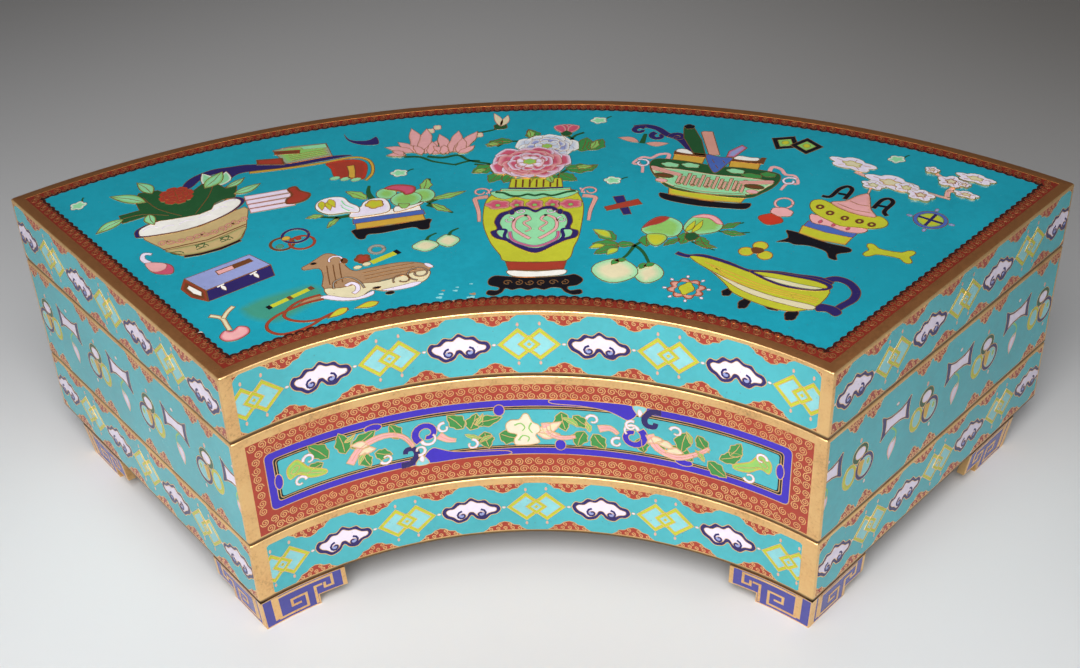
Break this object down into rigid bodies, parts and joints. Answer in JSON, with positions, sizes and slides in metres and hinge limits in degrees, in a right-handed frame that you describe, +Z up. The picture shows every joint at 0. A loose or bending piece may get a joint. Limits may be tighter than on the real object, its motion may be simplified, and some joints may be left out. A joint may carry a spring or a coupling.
{
  "type": "fan-shaped tiered enamel box",
  "caption": "Fan-shaped tiered box of gilt copper with inlaid enamel: two trays and a lift-off lid on bracket feet.",
  "frame": {"origin": "bottom centre of the whole box, on the surface that it stands on", "axes": "+Z up, +X to the right along the longest extent, -Y towards the concave front"},
  "size_m": [0.3976, 0.1914, 0.113],
  "materials": {
    "turquoise_enamel": "fired enamel polished flush between gilt wires",
    "cobalt_enamel": "fired enamel with a gilt fret",
    "red_enamel": "fired enamel with gilt spiral wires",
    "picture_enamels": "many-coloured fired enamels in wire cells",
    "gilt_copper": "worn fire gilding over copper"
  },
  "bodies": {
    "root": {"lid": "turquoise_enamel", "middle_tray": "turquoise_enamel", "base_tray": "turquoise_enamel", "foot_front_left": "cobalt_enamel", "foot_front_right": "cobalt_enamel", "foot_back_left": "cobalt_enamel", "foot_back_right": "cobalt_enamel"}
  },
  "joints": []
}
